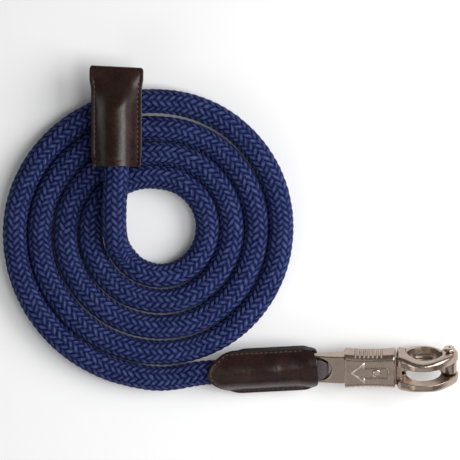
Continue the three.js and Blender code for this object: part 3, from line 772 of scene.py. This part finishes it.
def stitched_row(name, places, normals, to_row, look, nodes):
    """Lens-shaped stitches along a row of places on the leather, each a little slanted."""
    rings, sides = 7, 8
    t = np.linspace(-1, 1, rings)
    swell = np.sqrt(np.clip(1 - (0.985 * t) ** 2, 0, 1)) ** 0.7
    angle = 2 * np.pi * np.arange(sides) / sides
    points, quads, ends = [], [], []
    step = np.gradient(places, axis=0)
    for number, (place, normal, ahead) in enumerate(zip(places, normals, step)):
        normal = normal / np.linalg.norm(normal)
        ahead = ahead - (ahead @ normal) * normal
        ahead /= np.linalg.norm(ahead)
        aside = np.cross(normal, ahead)
        ahead = ahead + STITCH_SLANT * aside
        ahead /= np.linalg.norm(ahead)
        aside = np.cross(normal, ahead)
        size = 1 + RANDOM.uniform(-0.06, 0.06)
        first = number * rings * sides
        for s, w in zip(t, swell):
            sink = -STITCH_SINK * s * s
            ring = (
                place
                + 0.5 * STITCH_LENGTH * size * s * ahead
                + (STITCH_HALF * w * np.cos(angle))[:, None] * aside
                + (STITCH_HIGH * w * np.sin(angle) + sink)[:, None] * normal
            )
            points.append(ring)
        quads.append(grid_quads(rings, sides, closed_columns=True, first=first))
        ends.append(first + np.arange(sides)[::-1])
        ends.append(first + (rings - 1) * sides + np.arange(sides))
    made = mesh_object(name, moved(to_row, np.concatenate(points)), np.concatenate(quads), ends)
    made.data.materials.append(look)
    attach(made, "lead")
    if nodes:
        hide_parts(*nodes)


def even_places(path, pitch):
    """Points `pitch` apart along a path of (x, y) points."""
    along = np.concatenate([[0], np.cumsum(np.linalg.norm(np.diff(path, axis=0), axis=1))])
    count = int(along[-1] / pitch)
    at = np.linspace(0.5 * pitch, along[-1] - 0.5 * pitch, count)
    return np.stack([np.interp(at, along, path[:, k]) for k in range(2)], axis=1)


def surface_points(height, flat, lift, toward=1):
    """Points and normals of a height function over places (x, y), or of its mirror image below."""
    e = 0.05
    x, y = flat[:, 0], flat[:, 1]
    dx = (height(x + e, y) - height(x - e, y)) / (2 * e)
    dy = (height(x, y + e) - height(x, y - e)) / (2 * e)
    normals = np.stack([-dx, -dy, np.ones_like(dx)], -1)
    normals /= np.linalg.norm(normals, axis=1)[:, None]
    places = np.stack([x, y, height(x, y)], -1) + lift * normals
    if toward < 0:
        places[:, 2] *= -1
        normals[:, 2] *= -1
    return places, normals


def cover_seam_path(length):
    """The seam's row, at a steady distance inside the cover's outline, round its tongue."""
    upper, lower = cover_sides(length)
    path = np.concatenate([upper[1:-1], lower[::-1][:-1]])
    apart = np.linalg.norm(np.diff(path, axis=0), axis=1) > 0.05
    path = path[np.concatenate([[True], apart])]
    ahead = np.gradient(path, axis=0)
    ahead /= np.linalg.norm(ahead, axis=1)[:, None]
    inside = np.stack([-ahead[:, 1], ahead[:, 0]], -1)
    seam = path + SEAM_INSET * inside
    return seam[seam[:, 0] < SEAM_START]


for name, side, length, nodes in (
    ("cover_stitches_front", 1, COVER_LENGTH, ["cover_seam_upper", "cover_seam_lower"]),
    ("cover_stitches_back", -1, COVER_BACK_LENGTH, []),
):
    flat = even_places(cover_seam_path(length), STITCH_PITCH)
    places, normals = surface_points(cover_height, flat, STITCH_LIFT, toward=side)
    # The cover's stitches take the darker thread, which is painted shade.
    stitched_row(name, places, normals, COVER, SHADED_THREAD, nodes)


# ---------------------------------------------------------------- loop strap
STRAP_HALF = 8.0
STRAP_THICK = 2.3
STRAP_BEND = 4.1  # radius of the strap's middle round the eye bar
STRAP_TAIL = -21.0  # the ends of its legs, inside the cover
STRAP_BIGHT = 2.4  # where the legs end and the bend begins
ROUND_FROM, ROUND_TO, ROUND_LENGTH = -0.3, 6.6, 7.25  # the bight's round plan, an ellipse's arc


def loop_strap():
    """One strap of dark leather, folded round the eye's bar with both legs in the cover."""
    leg = STRAP_BIGHT - STRAP_TAIL
    bend = math.pi * STRAP_BEND
    s = insets(2 * leg + bend, 110)
    turned = np.clip((s - leg) / STRAP_BEND, 0, math.pi)
    x = np.where(s < leg, STRAP_TAIL + s, STRAP_BIGHT + STRAP_BEND * np.sin(turned))
    x = np.where(s > leg + bend, STRAP_BIGHT - (s - leg - bend), x)
    z = STRAP_BEND * np.cos(turned)
    reach = np.clip(x - ROUND_FROM, 0, ROUND_TO - ROUND_FROM)
    half = STRAP_HALF * np.sqrt(1 - (reach / ROUND_LENGTH) ** 2)
    share = insets(2 * STRAP_HALF, 26) / STRAP_HALF - 1
    y = half[:, None] * share[None, :]
    bent_in = 1.2 * np.sin(turned)[:, None] * (y / STRAP_HALF) ** 2
    middle = np.stack([x[:, None] - bent_in, y, z[:, None] + 0 * y], -1)
    middle[..., 2] *= 1 - 0.05 * (y / STRAP_HALF) ** 2
    ends = np.minimum(s, s[-1] - s)[:, None]
    inset = np.minimum(half[:, None] - np.abs(y), ends)
    made = leather_sheet("strap_loop", middle, inset, STRAP_THICK, COVER, DARK, flip=True)
    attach(made, "lead")
    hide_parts("loop_strap")


loop_strap()

# ---------------------------------------------------------------- end cap
CAP_DROP = 3.6  # the flanges lie this far under the rope's centre line
CAP_SKEW = 2.0  # the fold runs back by this much across the cap
CAP_INSET = 2.9  # from the cut edge to the seam
CAP_HALF = 17.35
FOLD_HALF = 18.5
CORNER = 1.2  # the rounding of the fold's corners
COLUMNS_HALF = 18  # half the width for which the sheet's columns are spaced


def cap_half(x):
    """Half the cap's width along it: wider at the fold, drawn in at the mouth."""
    spread = (FOLD_HALF - CAP_HALF) * smoothstep(52, 61, x)
    return CAP_HALF + spread - 0.75 * smoothstep(12, 0, x)


def cap_top(x, y):
    """The middle of the cap's upper leather, a dome that spreads to the fold's corners."""
    flange = LEATHER / 2 - CAP_DROP + 0.15
    lean = np.clip(y / 17, -1, 1)
    fade = smoothstep(39, 67, x + 2.2 * lean)
    wide = 13.9 + 2.8 * fade
    lips = 1.1 * smoothstep(8, 0, x) * smoothstep(10, 16, np.abs(y))
    droop = -0.7 * smoothstep(63, 70, x)
    return flange + (DOME_HIGH - flange) * (1 - fade) * dome(y, wide) + lips + droop


def cap_under(x, y):
    """The middle of the cap's lower leather."""
    flange = -LEATHER / 2 - CAP_DROP - 0.15
    fade = 1 - smoothstep(48, 62, x)
    return flange + (-9.9 - flange) * fade * dome(y, 13.2)


def end_cap():
    """One piece of leather, folded over the rope's end, as a sheet from mouth to mouth."""
    fold, bend = 65.5, 5.5  # where the leather starts to bend, and the length of its bend
    s = insets(2 * fold + bend, 170)
    turned = math.pi * np.clip((s - fold) / bend, 0, 1)
    x = np.clip(np.minimum(s, s[-1] - s), 0, fold)
    share = insets(2 * COLUMNS_HALF, 84) / COLUMNS_HALF - 1
    half = (cap_half(x) - CORNER * np.sin(turned) ** 4)[:, None]
    y = half * share[None, :]
    xx = x[:, None] + 0 * y
    on_top = (s < fold)[:, None]
    mixed = 0.5 * (1 + np.cos(turned))[:, None]
    z = cap_under(xx, y) + (cap_top(xx, y) - cap_under(xx, y)) * mixed
    inset = np.minimum(half - np.abs(y), np.minimum(s, s[-1] - s)[:, None])
    seam = np.exp(-(((half - np.abs(y) - CAP_INSET) / 0.55) ** 2)) * smoothstep(62, 58, xx)
    crease = np.exp(-(((xx - 4.3) / 0.4) ** 2)) * smoothstep(13.5, 12.5, np.abs(y))
    ripple = 0.1 * np.sin(xx / 4.7 + 0.4) * np.sin(y / 4.5) + 0.07 * np.sin(xx / 2.6 - y / 3.1)
    z = z + np.where(on_top, ripple * smoothstep(2.5, 6, inset) - 0.4 * seam - 0.35 * crease, 0)
    reach = CAP_LENGTH - LEATHER / 2 - fold - CAP_SKEW * (0.5 - 0.5 * y / FOLD_HALF)
    middle = np.stack([xx + reach * np.sin(turned)[:, None], y, z], -1)
    made = leather_sheet("folded_end_cap", middle, inset, LEATHER, CAP, BROWN)
    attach(made, "lead")
    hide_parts("end_cap")


end_cap()

for hand, side in (("left", 1), ("right", -1)):
    xs = np.linspace(2, CAP_LENGTH - 10, 60)
    path = np.stack([xs, side * (cap_half(xs) - CAP_INSET)], -1)
    places, normals = surface_points(cap_top, even_places(path, STITCH_PITCH), STITCH_LIFT)
    stitched_row("cap_stitches_" + hand, places, normals, CAP, THREAD, ["cap_seam_" + hand])


# ---------------------------------------------------------------- metal
def cast_piece(name, node, voxel, rounds, look):
    """A CAD node's shape with the softened edges of a tumbled casting."""
    source = frame["nodes"][node]
    made = bpy.data.objects.new(name, source.data.copy())
    bpy.context.scene.collection.objects.link(made)
    made.data.materials.clear()
    remesh = made.modifiers.new("voxels", "REMESH")
    remesh.mode = "VOXEL"
    remesh.voxel_size = voxel * MM
    soften = made.modifiers.new("soften", "SMOOTH")
    soften.factor = 0.5
    soften.iterations = rounds
    graph = bpy.context.evaluated_depsgraph_get()
    final = bpy.data.meshes.new_from_object(made.evaluated_get(graph))
    made.modifiers.clear()
    made.data = final
    made.data.name = name
    made.data.shade_smooth()
    made.data.materials.append(look)
    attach(made, source["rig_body"])
    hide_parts(node)
    return made


for name, node, voxel, rounds, look in (
    ("snap_casting", "snap_body", 0.32, 5, NICKEL),
    ("collar_casting", "release_collar", 0.27, 3, NICKEL),
    ("gate_casting", "gate", 0.27, 4, NICKEL),
    ("pivot_rivet", "pivot_pin", 0.2, 3, BRIGHT),
    ("stop_rivet", "stop_pin", 0.2, 2, BRIGHT),
):
    piece = cast_piece(name, node, voxel, rounds, look)


def pull_arrow():
    """The raised head of the arrow on the collar's face, which shows which way it is drawn."""
    barb, tip, neck, head = 3.8, 31.2, 39.4, 7.0
    base, wide, high = 7.85, 1.25, 0.45  # the collar's face, and the bead's width and height
    path = [(neck, barb), (neck, head), (tip, 0), (neck, -head), (neck, -barb)]
    path = np.array(path, float)
    leg = np.diff(path, axis=0)
    leg /= np.linalg.norm(leg, axis=1)[:, None]
    leg = np.concatenate([leg[:1], leg, leg[-1:]])
    miter = np.stack([-(leg[1:] + leg[:-1])[:, 1], (leg[1:] + leg[:-1])[:, 0]], -1)
    miter /= (1 + (leg[1:] * leg[:-1]).sum(axis=1))[:, None]
    section = [(-1, -0.25), (-1, 0), (-0.55, 0.75), (0, 1), (0.55, 0.75), (1, 0), (1, -0.25)]
    rings = []
    for at, aside in zip(path, miter):
        rings.append([(*(at + 0.5 * wide * u * aside), base + high * v) for u, v in section])
    count, sides = len(path), len(section)
    quads = grid_quads(count, sides, closed_columns=True)
    ends = [np.arange(sides)[::-1], np.arange(sides) + (count - 1) * sides]
    made = mesh_object("pull_arrow", moved(SNAP, np.array(rings)).reshape(-1, 3), quads, ends)
    # The bead's pale nickel is a painted highlight.
    made.data.materials.append(PAINTED_HIGHLIGHT_NICKEL)
    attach(made, "collar")


pull_arrow()


def collar_spring():
    """The return spring, drawn at its rest length; the real one shortens as the collar is drawn
    back.
    """
    coils, r, wire = 7, 1.45, 0.38
    per_coil, sides = 24, 10
    fixed_end, moving_end = 29.6, 45.1
    low, high = Vector(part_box("collar_spring")[0]), Vector(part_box("collar_spring")[1])
    to_snap = SNAP.inverted()
    centre = to_snap @ ((low + high) / 2)
    steps = per_coil * coils
    turns = np.linspace(0, coils, steps)
    x = fixed_end + wire + (moving_end - fixed_end - 2 * wire) * turns / coils
    angle = 2 * np.pi * turns
    line = np.stack([x, r * np.cos(angle), centre.z + r * np.sin(angle)], -1)
    across, side = carried_frames(line, (0, 1, 0))
    ring = 2 * np.pi * np.arange(sides) / sides
    points = line[:, None] + wire * (
        np.cos(ring)[None, :, None] * across[:, None] + np.sin(ring)[None, :, None] * side[:, None]
    )
    quads = grid_quads(steps, sides, closed_columns=True)[:, ::-1]
    ends = [np.arange(sides), np.arange(sides)[::-1] + (steps - 1) * sides]
    made = mesh_object("return_spring", moved(SNAP, points).reshape(-1, 3), quads, ends)
    made.data.materials.append(SPRING_STEEL)
    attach(made, "snap")
    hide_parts("collar_spring")
    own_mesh(made)


collar_spring()

# ---------------------------------------------------------------- floor and light
FLOOR_HALF = 6
FLOOR_HEIGHT = -0.0003  # just under the part
corners = np.array([(-1, -1, 0), (1, -1, 0), (1, 1, 0), (-1, 1, 0)]) * FLOOR_HALF
floor = mesh_object("floor", corners + (0, 0, FLOOR_HEIGHT), np.array([(0, 1, 2, 3)]))
floor_look = Look("pale_floor", Roughness=0.9)
floor.data.materials.append(floor_look.finish(Base_Color=(0.93, 0.93, 0.93)))

world = bpy.data.worlds.new("studio")
bpy.context.scene.world = world
world.use_nodes = True
background = world.node_tree.nodes["Background"]
background.inputs["Color"].default_value = (1, 1, 1, 1)
background.inputs["Strength"].default_value = 0.19


def softbox(name, at, size, watts):
    """A rectangular lamp that points at the frame's origin."""
    data = bpy.data.lights.new(name, "AREA")
    data.shape = "RECTANGLE"
    data.size, data.size_y = size
    data.energy = watts
    lamp = bpy.data.objects.new(name, data)
    bpy.context.scene.collection.objects.link(lamp)
    lamp.location = at
    lamp.rotation_euler = (-Vector(at)).to_track_quat("-Z", "Y").to_euler()


softbox("softbox_right", (1.0, 0.05, 0.8), (1.0, 0.8), 17)
softbox("softbox_left", (-0.9, -0.9, 0.75), (0.8, 0.6), 3.2)
softbox("softbox_over", (0.45, -0.15, 1.3), (0.7, 0.5), 6)
softbox("softbox_front", (0.15, -1.1, 0.75), (1.3, 0.6), 1.1)

bpy.context.scene.view_settings.view_transform = "Standard"
